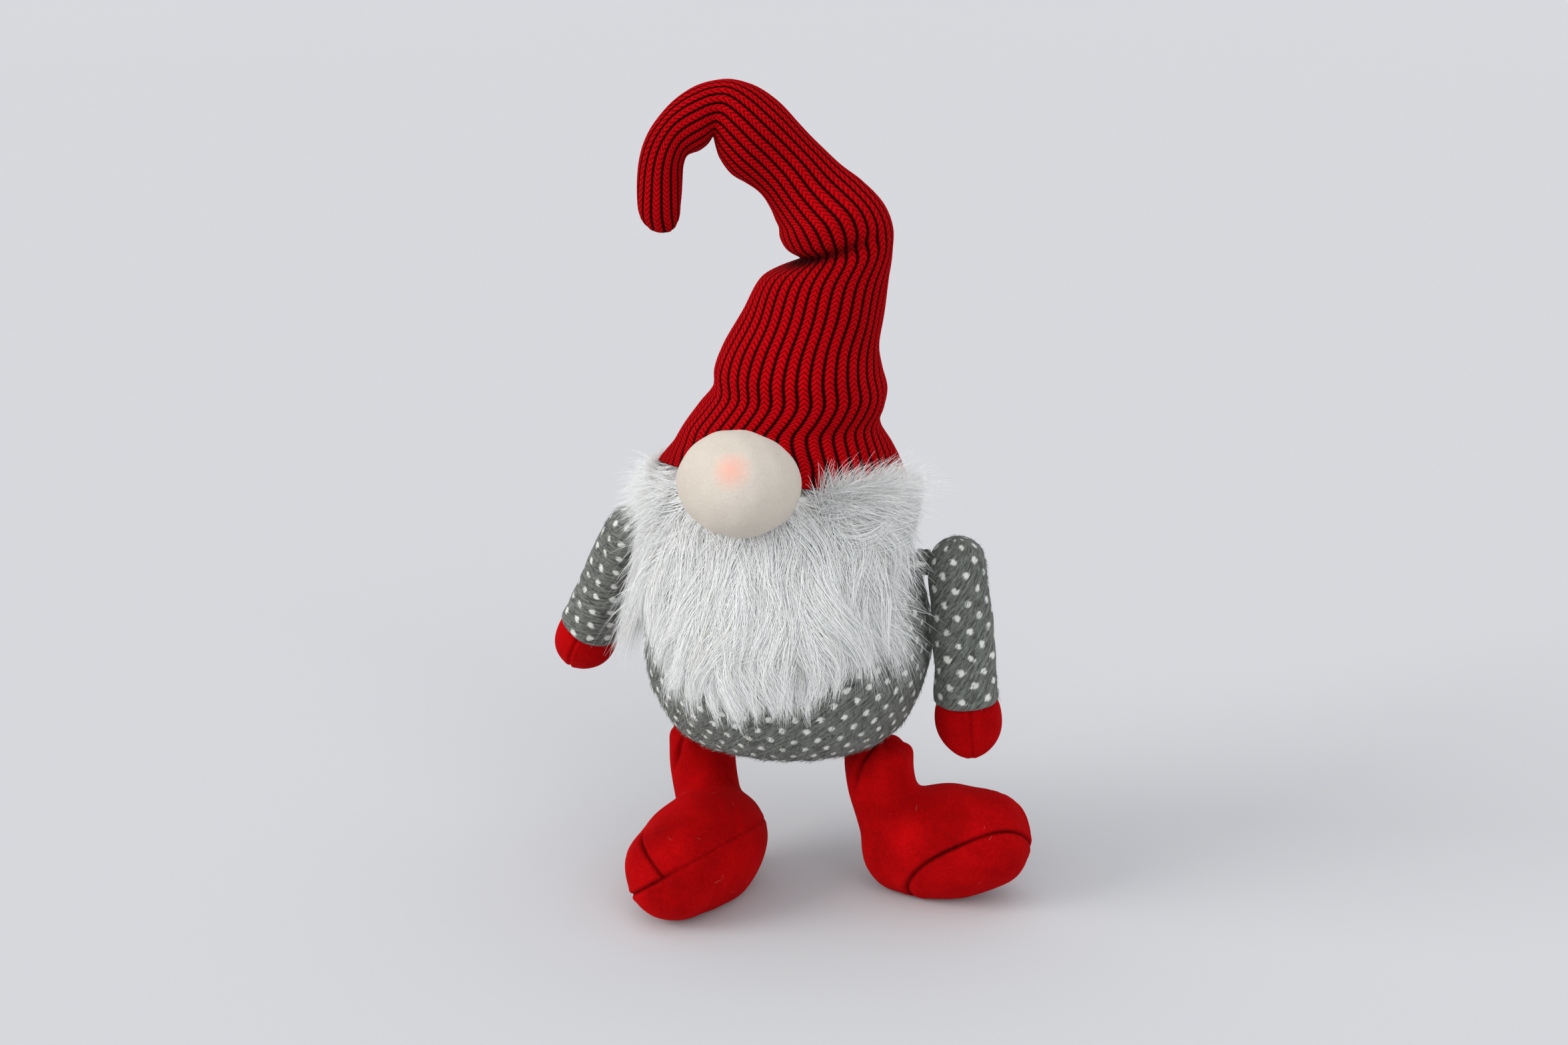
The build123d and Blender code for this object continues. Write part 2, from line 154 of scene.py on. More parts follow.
def tube(name, grid, uv=None, attributes=None, cap_start=False, cap_end=False):
    """Closed-round surface from grid[rows, columns]; uv[rows, columns + 1] in mm."""
    rows, cols = grid.shape[:2]
    i, j = np.meshgrid(np.arange(rows - 1), np.arange(cols), indexing="ij")
    k = (j + 1) % cols
    quads = np.stack([i * cols + j, i * cols + k, (i + 1) * cols + k, (i + 1) * cols + j], -1).reshape(-1, 4)
    verts = grid.reshape(-1, 3)
    loops = None
    if uv is not None:
        loops = np.stack([uv[i, j], uv[i, j + 1], uv[i + 1, j + 1], uv[i + 1, j]], 2).reshape(-1, 2)
    attributes = {key: np.asarray(v).ravel() for key, v in (attributes or {}).items()}
    obj = new_object(name, verts, quads, loops, attributes)
    if cap_start or cap_end:
        bm = bmesh.new()
        bm.from_mesh(obj.data)
        bm.verts.ensure_lookup_table()
        if cap_start:
            bm.faces.new([bm.verts[c] for c in range(cols)][::-1]).smooth = True
        if cap_end:
            bm.faces.new([bm.verts[(rows - 1) * cols + c] for c in range(cols)]).smooth = True
        bm.to_mesh(obj.data)
        bm.free()
    return obj


def strands(name, paths, width, tone, outward, taper=0.9):
    """Tapered three-sided hairs, one flat side outward.

    paths[n, steps, 3] is in mm and tone[n] picks each hair's material slot.
    """
    n, steps = paths.shape[:2]
    ahead = unit(np.gradient(paths, axis=1))
    out = np.broadcast_to(outward[:, None, :], paths.shape)
    out = unit(out - (out * ahead).sum(-1, keepdims=True) * ahead)
    across = np.cross(ahead, out)
    t = np.linspace(0, 1, steps)
    half = (0.5 * width[:, None] * (1 - taper * t**1.5)[None, :])[..., None]
    ring = [
        paths + half * (across + 0.3 * out),
        paths - half * (across - 0.3 * out),
        paths - 0.7 * half * out,
    ]
    verts = np.stack(ring, 2).reshape(-1, 3)
    i, j, k = np.meshgrid(np.arange(n), np.arange(steps - 1), np.arange(3), indexing="ij")
    base = i * steps * 3 + j * 3
    after = (k + 1) % 3
    quads = np.stack([base + k, base + 3 + k, base + 3 + after, base + after], -1).reshape(-1, 4)
    obj = new_object(name, verts, quads, smooth_shade=False)
    mats = np.repeat(np.asarray(tone, np.int32), (steps - 1) * 3)
    obj.data.polygons.foreach_set("material_index", mats)
    return obj


def surface_points(obj):
    mesh = obj.data
    n = len(mesh.vertices)
    co = np.empty(n * 3, np.float32)
    mesh.vertices.foreach_get("co", co)
    nr = np.empty(n * 3, np.float32)
    mesh.vertices.foreach_get("normal", nr)
    p = co.reshape(-1, 3).astype(float) * 1000 - SHIFT
    return p, nr.reshape(-1, 3).astype(float)


# ---------------------------------------------------------------- materials
def material(name):
    m = bpy.data.materials.new(name)
    m.use_nodes = True
    return m, m.node_tree, m.node_tree.nodes["Principled BSDF"]


def node(tree, kind, **settings):
    n = tree.nodes.new(kind)
    for key, value in settings.items():
        if key in n.inputs:
            n.inputs[key].default_value = value
        else:
            setattr(n, key, value)
    return n


def math_node(tree, operation, a, b=None, clamp=False):
    n = tree.nodes.new("ShaderNodeMath")
    n.operation = operation
    n.use_clamp = clamp
    for index, value in enumerate((a, b)):
        if value is None:
            continue
        if isinstance(value, (int, float)):
            n.inputs[index].default_value = value
        else:
            tree.links.new(value, n.inputs[index])
    return n.outputs[0]


def mix(tree, factor, a, b):
    n = tree.nodes.new("ShaderNodeMix")
    n.data_type = "RGBA"
    for socket, value in ((n.inputs[0], factor), (n.inputs[6], a), (n.inputs[7], b)):
        if isinstance(value, (tuple, int, float)):
            socket.default_value = (*value, 1) if isinstance(value, tuple) else value
        else:
            tree.links.new(value, socket)
    return n.outputs[2]


def noise(tree, vector, scale, detail=2.0, rough=0.55):
    n = node(tree, "ShaderNodeTexNoise", Scale=scale, Detail=detail, Roughness=rough)
    if vector is not None:
        tree.links.new(vector, n.inputs["Vector"])
    return n.outputs["Fac"]


def remap(tree, value, low, high, out_low=0.0, out_high=1.0):
    n = node(tree, "ShaderNodeMapRange")
    n.inputs["From Min"].default_value = low
    n.inputs["From Max"].default_value = high
    n.inputs["To Min"].default_value = out_low
    n.inputs["To Max"].default_value = out_high
    tree.links.new(value, n.inputs["Value"])
    return n.outputs["Result"]


def bump(tree, shader, height, distance, strength=1.0):
    b = node(tree, "ShaderNodeBump", Strength=strength, Distance=distance)
    tree.links.new(height, b.inputs["Height"])
    tree.links.new(b.outputs["Normal"], shader.inputs["Normal"])


def place(tree):
    """Object coordinates in millimetres."""
    c = node(tree, "ShaderNodeTexCoord")
    s = node(tree, "ShaderNodeVectorMath", operation="SCALE")
    s.inputs["Scale"].default_value = 1000.0
    tree.links.new(c.outputs["Object"], s.inputs[0])
    return s.outputs[0]


def cloth_surface(shader, roughness, specular, sheen, sheen_roughness):
    shader.inputs["Roughness"].default_value = roughness
    shader.inputs["Specular IOR Level"].default_value = specular
    shader.inputs["Sheen Weight"].default_value = sheen
    shader.inputs["Sheen Roughness"].default_value = sheen_roughness


def fleece(name, deep, bright, sheen, blush=None):
    """Short brushed pile: mottled colour, fine fuzz bump and a soft sheen, darkened by painted shade where
    the mesh carries shade values.
    """
    m, t, p = material(name)
    at = place(t)
    broad = noise(t, at, 0.035, 3.0)
    fine = noise(t, at, 0.55, 4.0, 0.7)
    hair = noise(t, at, 1.8, 2.0, 0.6)
    amount = math_node(t, "ADD", math_node(t, "MULTIPLY", broad, 0.6), math_node(t, "MULTIPLY", fine, 0.55))
    colour = mix(t, remap(t, amount, 0.38, 0.76), deep, bright)
    if blush:
        centre, tint, spread = blush
        away = node(t, "ShaderNodeVectorMath", operation="DISTANCE")
        t.links.new(at, away.inputs[0])
        away.inputs[1].default_value = centre
        soft = math_node(t, "ADD", away.outputs["Value"], math_node(t, "MULTIPLY", fine, 6.0))
        colour = mix(t, remap(t, soft, spread + 3, 3.0, 0.0, 0.85), colour, tint)
    # painted shade: the mesh's shade values darken the fleece toward a deep red; only the boots carry them
    painted_shade = node(t, "ShaderNodeAttribute", attribute_name="painted_shade").outputs["Fac"]
    colour = mix(t, painted_shade, colour, tuple(c * 0.22 for c in deep))
    t.links.new(colour, p.inputs["Base Color"])
    cloth_surface(p, 0.92, 0.03, sheen, 0.5)
    p.inputs["Sheen Tint"].default_value = (*(min(1.0, c * 1.5) for c in bright), 1)
    height = math_node(t, "ADD", math_node(t, "MULTIPLY", fine, 0.7), math_node(t, "MULTIPLY", hair, 0.5))
    bump(t, p, height, 0.0007, 0.7)
    return m


def marl_knit(name, streak_angle, dot_pitch=16.0, row_pitch=9.0):
    """Brushed grey marl with small white printed dots, laid out in the cloth's own millimetres."""
    m, t, p = material(name)
    uvm = node(t, "ShaderNodeUVMap", uv_map="cloth")
    sep = node(t, "ShaderNodeSeparateXYZ")
    t.links.new(uvm.outputs[0], sep.inputs[0])
    u, v = sep.outputs[0], sep.outputs[1]
    # streaks of pale and dark fibre, brushed one way
    turn = node(t, "ShaderNodeMapping")
    turn.inputs["Rotation"].default_value = (0, 0, streak_angle)
    t.links.new(uvm.outputs[0], turn.inputs["Vector"])
    stretch = node(t, "ShaderNodeMapping")
    stretch.inputs["Scale"].default_value = (0.09, 0.6, 1.0)
    t.links.new(turn.outputs[0], stretch.inputs["Vector"])
    streak = noise(t, stretch.outputs[0], 1.0, 4.0, 0.65)
    thin = node(t, "ShaderNodeMapping")
    thin.inputs["Scale"].default_value = (0.25, 1.7, 1.0)
    t.links.new(turn.outputs[0], thin.inputs["Vector"])
    fibre = noise(t, thin.outputs[0], 1.0, 2.0, 0.6)
    cloud = noise(t, place(t), 0.05, 3.0)
    marl = mix(t, remap(t, streak, 0.34, 0.62), (0.028, 0.03, 0.027), (0.185, 0.197, 0.175))
    marl = mix(t, remap(t, fibre, 0.54, 0.72, 0.0, 0.8), marl, (0.36, 0.38, 0.34))
    marl = mix(t, remap(t, cloud, 0.35, 0.75, 0.0, 0.3), marl, (0.05, 0.052, 0.048))
    # staggered dots with ragged edges
    warp_u = math_node(t, "ADD", u, math_node(t, "MULTIPLY", math_node(t, "SUBTRACT", streak, 0.5), 8.0))
    warp_v = math_node(t, "ADD", v, math_node(t, "MULTIPLY", math_node(t, "SUBTRACT", cloud, 0.5), 7.0))
    b = math_node(t, "DIVIDE", warp_v, row_pitch)
    which = math_node(t, "FLOOR", b)
    half = math_node(t, "MULTIPLY", math_node(t, "MODULO", math_node(t, "ABSOLUTE", which), 2.0), 0.5)
    a = math_node(t, "ADD", math_node(t, "DIVIDE", warp_u, dot_pitch), half)
    fx = math_node(t, "SUBTRACT", math_node(t, "FRACT", a), 0.5)
    fy = math_node(t, "SUBTRACT", math_node(t, "FRACT", b), 0.5)
    dx = math_node(t, "MULTIPLY", fx, dot_pitch)
    dy = math_node(t, "MULTIPLY", fy, row_pitch)
    away = math_node(
        t, "SQRT", math_node(t, "ADD", math_node(t, "MULTIPLY", dx, dx), math_node(t, "MULTIPLY", dy, dy))
    )
    ragged = math_node(t, "ADD", away, math_node(t, "MULTIPLY", math_node(t, "SUBTRACT", fibre, 0.5), 2.2))
    dot = remap(t, ragged, 2.75, 1.65)
    patchy = math_node(t, "MULTIPLY", dot, remap(t, fibre, 0.3, 0.5, 0.65, 1.0))
    colour = mix(t, patchy, marl, (0.72, 0.73, 0.68))
    t.links.new(colour, p.inputs["Base Color"])
    cloth_surface(p, 0.95, 0.05, 0.1, 0.6)
    height = math_node(t, "ADD", streak, math_node(t, "MULTIPLY", fibre, 0.6))
    height = math_node(t, "ADD", height, math_node(t, "MULTIPLY", dot, 0.3))
    bump(t, p, height, 0.0012, 0.8)
    return m


def rib_knit(name):
    """Chunky rib: bright red ribs with slanting stitch legs; painted shade makes the valleys and the fold
    crease near-black and darkens the gaps between the legs.
    """
    m, t, p = material(name)
    uvm = node(t, "ShaderNodeUVMap", uv_map="cloth")
    sep = node(t, "ShaderNodeSeparateXYZ")
    t.links.new(uvm.outputs[0], sep.inputs[0])
    u, v = sep.outputs[0], sep.outputs[1]
    # painted shade read from the hat mesh: near-black in the rib valleys and deep in the fold crease
    depth = node(t, "ShaderNodeAttribute", attribute_name="valley_shade").outputs["Fac"]
    # u counts ribs, v counts stitch rows: each rib is two legs that meet in a V
    inside = math_node(t, "ABSOLUTE", math_node(t, "SUBTRACT", math_node(t, "FRACT", u), 0.5))
    lean = math_node(t, "ADD", v, math_node(t, "MULTIPLY", inside, 2.6))
    stitch = math_node(t, "FRACT", lean)
    gap = math_node(t, "ABSOLUTE", math_node(t, "SUBTRACT", stitch, 0.5))
    leg = remap(t, gap, 0.5, 0.26)
    at = place(t)
    yarn = noise(t, at, 1.3, 3.0, 0.65)
    broad = noise(t, at, 0.03, 2.0)
    red = mix(t, remap(t, yarn, 0.3, 0.7), (0.40, 0.0005, 0.003), (0.70, 0.001, 0.005))
    red = mix(t, remap(t, broad, 0.3, 0.7, 0.0, 0.35), red, (0.35, 0.001, 0.003))
    # painted shade in the gaps between the stitch legs
    stitch_gap_shade = math_node(t, "MULTIPLY", math_node(t, "SUBTRACT", 1.0, leg), 0.62)
    red = mix(t, stitch_gap_shade, red, (0.14, 0.0005, 0.002))
    shade = remap(t, depth, 0.17, 0.9)
    colour = mix(t, shade, red, (0.022, 0.0015, 0.002))
    t.links.new(colour, p.inputs["Base Color"])
    cloth_surface(p, 0.9, 0.03, 0.12, 0.5)
    p.inputs["Sheen Tint"].default_value = (1.0, 0.02, 0.02, 1)
    height = math_node(t, "ADD", leg, math_node(t, "MULTIPLY", yarn, 0.7))
    bump(t, p, height, 0.0014, 1.0)
    return m


def hair_tone(name, colour, rough=0.6):
    m, t, p = material(name)
    p.inputs["Base Color"].default_value = (*colour, 1)
    p.inputs["Roughness"].default_value = rough
    p.inputs["Specular IOR Level"].default_value = 0.3
    if colour[1] > 0.7:
        p.inputs["Sheen Weight"].default_value = 0.6
        p.inputs["Sheen Roughness"].default_value = 0.4
    return m


def pile_base(name):
    m, t, p = material(name)
    at = place(t)
    s = node(t, "ShaderNodeMapping")
    s.inputs["Scale"].default_value = (0.35, 0.35, 0.045)
    t.links.new(at, s.inputs["Vector"])
    streak = noise(t, s.outputs[0], 1.0, 4.0, 0.65)
    colour = mix(t, remap(t, streak, 0.3, 0.68), (0.84, 0.85, 0.79), (0.96, 0.96, 0.95))
    t.links.new(colour, p.inputs["Base Color"])
    p.inputs["Roughness"].default_value = 0.8
    bump(t, p, streak, 0.004, 0.8)
    return m


RED_FLEECE = fleece("red_fleece", (0.24, 0.0005, 0.0015), (0.48, 0.002, 0.003), 0.35)
NOSE_FLEECE = fleece(
    "nose_fleece",
    (0.525, 0.468, 0.398),
    (0.61, 0.558, 0.493),
    0.25,
    blush=(tuple(row((8.2, -134.0, 315.5)) * 1000), (0.80, 0.36, 0.27), 14.0),
)
HEAD_FLEECE = fleece("head_fleece", (0.55, 0.5, 0.38), (0.66, 0.61, 0.48), 0.2)
KNIT = rib_knit("red_rib_knit")
MARL = marl_knit("grey_marl", math.radians(-38))
MARL_SLEEVE = marl_knit("grey_marl_sleeve", math.radians(-50))
HAIR = [
    hair_tone("hair_white", (0.95, 0.955, 0.945)),
    hair_tone("hair_cool", (0.90, 0.92, 0.92)),
    hair_tone("hair_warm", (0.88, 0.88, 0.80)),
    hair_tone("hair_bright", (0.985, 0.985, 0.98)),
]
# how much of the beard each of the four tones takes
HAIR_SHARES = (0.5, 0.16, 0.08, 0.26)
FUZZ_GREY = [
    hair_tone("fuzz_pale", (0.27, 0.29, 0.26), 0.9),
    hair_tone("fuzz_dark", (0.06, 0.064, 0.058), 0.9),
]
LINT = [hair_tone("lint", (0.62, 0.25, 0.2), 0.7)]
PILE_BASE = pile_base("pile_base")


def dress(obj, mats, body=None, replaces=()):
    for m in mats if isinstance(mats, list) else [mats]:
        obj.data.materials.append(m)
    if body:
        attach(obj, body)
    if replaces:
        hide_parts(*replaces)
    return obj


# ---------------------------------------------------------------- torso
TORSO = [
    (0.5, 100.5), (22, 100.2), (42, 101.5), (58, 105), (71.5, 112.5), (82, 125), (89.5, 140), (93, 156),
    (93.5, 172), (91.5, 190), (88, 206), (83.5, 222), (79, 238), (75.5, 252), (73.5, 262), (71, 272),
]


def torso_profile(count):
    return curve_through(TORSO, count)


def torso_radius(z):
    p = torso_profile(200)
    keep = p[:, 1] > 104
    return np.interp(z, p[keep, 1], p[keep, 0])


def build_torso():
    rows, cols = ((170, 320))
    prof = torso_profile(rows)
    a, r, z = spin(prof[:, 0], prof[:, 1], cols)
    grid = np.stack([r * np.cos(a), r * np.sin(a), z], -1)
    out = unit(np.stack([np.cos(a), np.sin(a), np.zeros_like(a)], -1))
    amount = smooth(20, 60, r)
    soft = 1.3 * lumps(grid, 46, 1) + 0.5 * lumps(grid, 17, 2)
    # side seams draw the cloth in a little
    seam = np.exp(-((np.abs(np.sin(a)) * r / 2.2) ** 2)) * 1.3
    # gathers where the base is drawn under the body
    gather = np.sin(a * 23 + 2 * lumps(grid, 60, 3)) * 0.7 * smooth(128, 108, z) * amount
    grid = grid + out * ((soft - seam) * amount + gather)[..., None]
    s = run_length(prof)
    au = np.linspace(0, FULL_TURN, cols + 1)
    uu, vv = np.meshgrid(au * BODY_RADIUS, s)
    obj = tube("torso_cloth", grid, np.stack([uu, vv], -1), cap_start=True)
    return dress(
        obj, MARL, "torso",
        ["torso_front_panel", "torso_back_panel", "base_panel", "torso_filling", "pellet_bag", "pellets",
         "hip_tack_left", "hip_tack_right"],
    )


# ---------------------------------------------------------------- head under the hat
def build_head():
    prof = curve_through([(74.2, 258), (75, 266), (74, 276), (70, 287), (61, 299), (40, 309), (0.5, 312)], 40)
    cols = 96
    a, r, z = spin(prof[:, 0], prof[:, 1], cols)
    grid = np.stack([r * np.cos(a), r * np.sin(a), z], -1)
    obj = tube("head_fleece", grid, cap_end=True)
    return dress(obj, HEAD_FLEECE, "torso", ["head_cover"])


# ---------------------------------------------------------------- nose
NOSE = np.array((3.0, -103.0, 298.0))


def build_nose():
    rows, cols = 70, 120
    lat = np.linspace(-math.pi / 2 + 0.01, math.pi / 2 - 0.01, rows)
    ang = np.linspace(0, FULL_TURN, cols, endpoint=False)
    a, b = np.meshgrid(ang, lat)
    grid = np.stack([37.2 * np.cos(b) * np.cos(a), 33 * np.cos(b) * np.sin(a), 32.2 * np.sin(b)], -1)
    grid += unit(grid) * (0.7 * lumps(grid, 30, 4) + 0.25 * lumps(grid, 9, 5))[..., None]
    # a little flatter below, where it presses on the beard
    grid[..., 2] *= np.where(grid[..., 2] < 0, 0.97, 1.0)
    obj = tube("nose", grid + NOSE, cap_start=True, cap_end=True)
    return dress(obj, NOSE_FLEECE, "torso", ["nose_cover", "nose_filling"])


# ---------------------------------------------------------------- hat
OUTER = [
    (81, 263), (73.5, 283), (65.5, 299), (58.5, 313), (61.5, 325), (63.5, 336), (61.5, 349),
    (60.2, 363), (62.5, 383), (63.4, 404), (64.2, 422), (63.2, 436), (56.5, 450), (43.5, 463),
    (30.5, 473), (18.5, 486), (6, 500), (-6, 512.5), (-20, 522), (-34.3, 526.4), (-46, 526), (-56, 523),
    (-66, 517), (-75, 509), (-83, 498), (-88, 486), (-90.2, 473), (-90.2, 459), (-88.9, 445.5),
    (-85.5, 438.8), (-81.8, 435), (-79.4, 433.4), (-78.5, 433),
]
INNER = [
    (-82, 288), (-77, 295), (-72.5, 301), (-66, 312), (-56.5, 324), (-48.5, 334.5), (-47.6, 348),
    (-40.8, 363), (-28, 383), (-17.2, 404), (-2.5, 416.5), (-2.8, 426), (-4.8, 434), (-8, 439),
    (-11, 447), (-17, 457), (-25, 463.5), (-34.6, 470), (-42, 480), (-45.2, 488.5), (-47.5, 488),
    (-54, 484), (-58.5, 482.5), (-62.5, 480.5), (-65, 475.5), (-66.2, 470.5), (-66.9, 465),
    (-67.6, 455), (-69, 445.5), (-71.3, 439), (-74.2, 435), (-76.8, 433.3), (-78, 433),
]
FOLD_AT, CROWN_AT = 10.4, 19.3


def hat_frames(rows):
    """Centre, radius and direction of the hat's rings, and each one's place in the lists."""
    pairs = np.hstack([np.array(OUTER, float), np.array(INNER, float), np.arange(len(OUTER))[:, None]])
    fine = curve_through(pairs * np.array((1, 1, 1, 1, 6.0)), rows)
    outer, inner, at = fine[:, :2], fine[:, 2:4], fine[:, 4] / 6.0
    centre = (outer + inner) / 2
    span = outer - inner
    radius = np.linalg.norm(span, axis=1) / 2
    e = span / (2 * radius[:, None])
    return centre, radius, e, at


def hat_surface(rows, cols):
    centre, radius, e, at = hat_frames(rows)
    c3 = centre[:, :1] * ACROSS + centre[:, 1:] * UP
    e1 = e[:, :1] * ACROSS + e[:, 1:] * UP
    pitch = np.radians(12) * smooth(5, 0, at)
    e2 = np.cos(pitch)[:, None] * FACING + np.sin(pitch)[:, None] * UP
    depth = 1.0 - 0.06 * smooth(4, 9, at)
    ang = np.linspace(0, FULL_TURN, cols + 1)
    # angle 0 faces the front, so that the seam at half a turn lies behind
    ca, sa = np.cos(ang), np.sin(ang)
    path = run_length(c3)
    side = sa[None, :, None] * e1[:, None, :]
    front = ca[None, :, None] * (e2 * depth[:, None])[:, None, :]
    out = side + front
    base = c3[:, None, :] + radius[:, None, None] * out
    # the cloth folds on itself at the fold and at the crown, on the inner side and over the front
    inward = 0.5 - 0.5 * sa[None, :]
    open_front = smooth(0.98, 0.3, sa[None, :])
    past_fold = at[:, None] - FOLD_AT
    fold = np.exp(-(((past_fold - 0.55 * sa[None, :]) / 0.42) ** 2)) * open_front
    fold = fold * (0.45 + 0.55 * inward)
    crown = np.exp(-(((at[:, None] - CROWN_AT - 0.3) / 0.5) ** 2)) * inward**1.5
    dent = 0.30 * fold + 0.16 * crown
    puff = np.exp(-(((past_fold - 1.7 - 0.6 * sa[None, :]) / 0.8) ** 2)) * open_front * 0.085
    base = base + (radius[:, None] * (puff - dent))[..., None] * out
    wobble = 1.5 * lumps(base, 52, 6) * smooth(0, 2, at)[:, None] + 0.45 * lumps(base, 19, 7)
    # ribs: constant pitch counted from the front, so they run out into the back seam
    pitch_mm = RIB_PITCH * (radius / 70) ** 0.3
    wrapped = np.where(ang > math.pi, ang - FULL_TURN, ang)
    wrapped[-1] = 0.0
    count = wrapped[None, :] * radius[:, None] / pitch_mm[:, None]
    wander = 0.16 * lumps(base * np.array((1, 1, 0.5)), 34, 8) * smooth(0, 1, at)[:, None]
    ribs = count + 0.25 + wander
    near = np.abs(ribs - np.floor(ribs) - 0.5) * 2
    valley_shade = smooth(0.54, 0.86, near)
    crest = np.sqrt(np.clip(1 - (near / 0.93) ** 2, 0, 1))
    grow = smooth(0, 0.35, at)[:, None] * (0.55 + 0.45 * np.clip(radius / 45, 0, 1))[:, None]
    lift = (2.1 * crest - 1.8) * grow
    seam = np.exp(-(((math.pi - np.abs(wrapped))[None, :] * radius[:, None] / 2.0) ** 2)) * -1.6
    grid = base + (wobble + lift + seam)[..., None] * unit(out)
    # painted shade: colour darkens to near-black in the rib valleys and in the fold crease
    shade = np.clip(valley_shade + 1.1 * fold**1.5, 0, 1)
    return grid, ribs, path, at, shade, unit(out)


def build_hat():
    rows, cols = ((300, 480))
    grid, ribs, path, at, shade, out = hat_surface(rows, cols)
    down = np.gradient(grid[:, :cols], axis=0)
    across = (np.roll(grid[:, :cols], -1, 1) - np.roll(grid[:, :cols], 1, 1)) / 2
    normals = unit(np.cross(across, down))
    normals *= np.sign((normals * out[:, :cols]).sum(-1).mean())
    pieces = [
        ("hat_lower", -1.0, 15.0, ["hat_lower_knit", "hat_lower_wire", "hat_lower_stuffing",
                                   "hat_middle_knit", "hat_middle_wire", "hat_middle_stuffing"]),
        ("hat_crown", 15.0, 23.5, ["hat_crook_knit", "hat_crook_wire", "hat_crook_stuffing"]),
        ("hat_tip", 23.5, 40.0, ["hat_tip_knit", "hat_tip_wire", "hat_tip_stuffing"]),
    ]
    made = []
    for name, start, end, nodes in pieces:
        first = np.searchsorted(at, start)
        last = min(np.searchsorted(at, end), rows - 1)
        part = grid[first : last + 1, :cols]
        tone = shade[first : last + 1, :cols]
        turned = normals[first : last + 1]
        uu = ribs[first : last + 1]
        vv = np.repeat((path[first : last + 1] / STITCH_PITCH)[:, None], cols + 1, 1)
        if name == "hat_lower":
            # the hem turns under and the knit lines the inside
            inside = []
            for reach, inset in [(17, 6.0), (10, 5.4), (4.5, 4.8)]:
                k = np.searchsorted(path, reach)
                inside.append(part[k] - out[k, :cols] * inset)
            inside.append(part[0] - out[0, :cols] * 3.4)
            inside.append(part[0] - out[0, :cols] * 1.6 - UP * 1.2)
            part = np.concatenate([np.array(inside), part])
            turned = np.concatenate([np.repeat(-out[:1, :cols], 4, 0), unit(turned[:1] - UP * 2), turned])
            tone = np.concatenate([np.tile(tone[:1], (5, 1)), tone])
            uu = np.concatenate([np.tile(uu[:1], (5, 1)), uu])
            extra = vv[0][None, :] - np.arange(5, 0, -1)[:, None] * 1.5
            vv = np.concatenate([extra, vv])
        # the painted shade of the valleys and the fold crease goes onto the mesh as an attribute
        obj = tube(name, part, np.stack([uu, vv], -1), {"valley_shade": tone}, cap_end=(name == "hat_tip"))
        obj.data.normals_split_custom_set_from_vertices(turned.reshape(-1, 3).tolist())
        obj.data.materials.append(KNIT)
        made.append((obj, nodes))
    return made


def tuck_head(head, lower):
    """Draws the head in wherever it would stand through the knit of the hat."""
    mesh = lower.data
    tree = BVHTree.FromPolygons([v.co for v in mesh.vertices], [tuple(f.vertices) for f in mesh.polygons])
    middle = Vector(tuple(row(np.zeros(3))))
    for v in head.data.vertices:
        away = Vector((v.co.x - middle.x, v.co.y - middle.y, 0))
        if away.length < 0.004:
            continue
        hit = tree.ray_cast(Vector((middle.x, middle.y, v.co.z)), away.normalized(), 0.15)
        if hit[0] is not None:
            room = hit[3] - 0.0016
            if away.length > room:
                v.co.x = middle.x + away.x * room / away.length
                v.co.y = middle.y + away.y * room / away.length
    head.data.update()


# ---------------------------------------------------------------- arms
ARMS = {
    "left": dict(at=(112, 2, 227.5), side=1, lean=5.2, swing=0.0, seam=0.0),
    "right": dict(at=(-109, 2, 229), side=-1, lean=27.0, swing=18.0, seam=-0.45),
}


def arm_frame(arm):
    lean, swing = math.radians(arm["lean"]), math.radians(arm["swing"])
    sideways = arm["side"] * math.sin(lean)
    d = np.array((sideways, math.cos(lean) * math.sin(swing), -math.cos(lean) * math.cos(swing)))
    e1 = unit(np.cross(np.array((0, 1.0, 0)), d))
    e2 = np.cross(d, e1)
    return np.array(arm["at"], float), d, e1, e2


